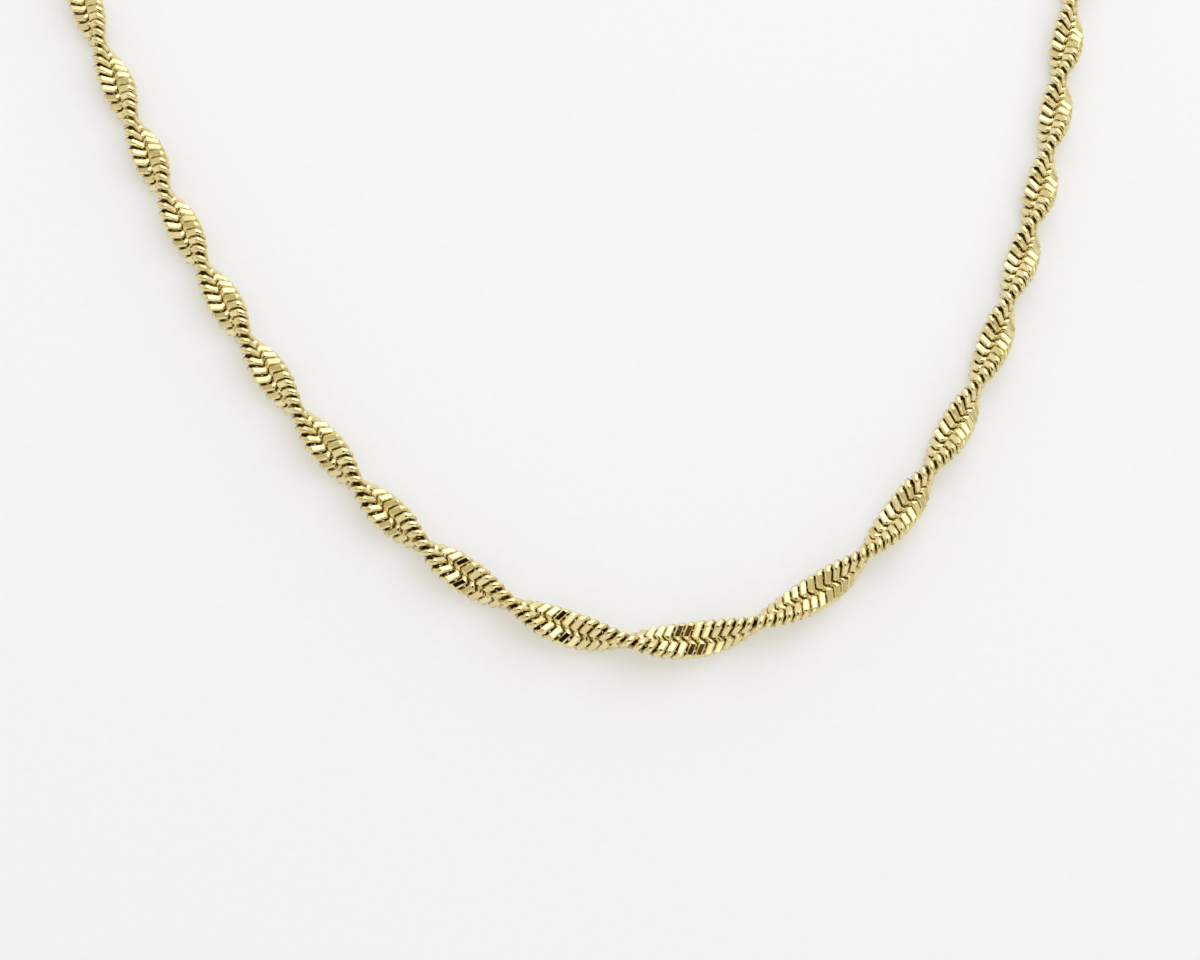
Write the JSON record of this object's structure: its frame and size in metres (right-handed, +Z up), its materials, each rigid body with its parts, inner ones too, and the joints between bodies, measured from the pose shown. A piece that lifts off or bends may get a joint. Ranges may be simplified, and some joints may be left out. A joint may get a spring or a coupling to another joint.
{
  "type": "twisted chain necklace",
  "caption": "Flat link chain twisted along its length and closed into a necklace by a plain barrel clasp.",
  "frame": {"origin": "middle of the loop's footprint, on the surface that the necklace lies on", "axes": "+Z up from the surface, +Y from the front of the loop, which lies lowest on the chest when worn, to the clasp at the back, +X to the right seen from the front"},
  "size_m": [0.1132, 0.1771, 0.0044],
  "materials": {
    "chain_gold": "polished pale yellow gold plate, with flat mirror-cut facets on the links",
    "clasp_gold": "polished pale yellow gold plate"
  },
  "bodies": {
    "root": {"twisted_chain": "chain_gold", "clasp": "clasp_gold"}
  },
  "joints": []
}
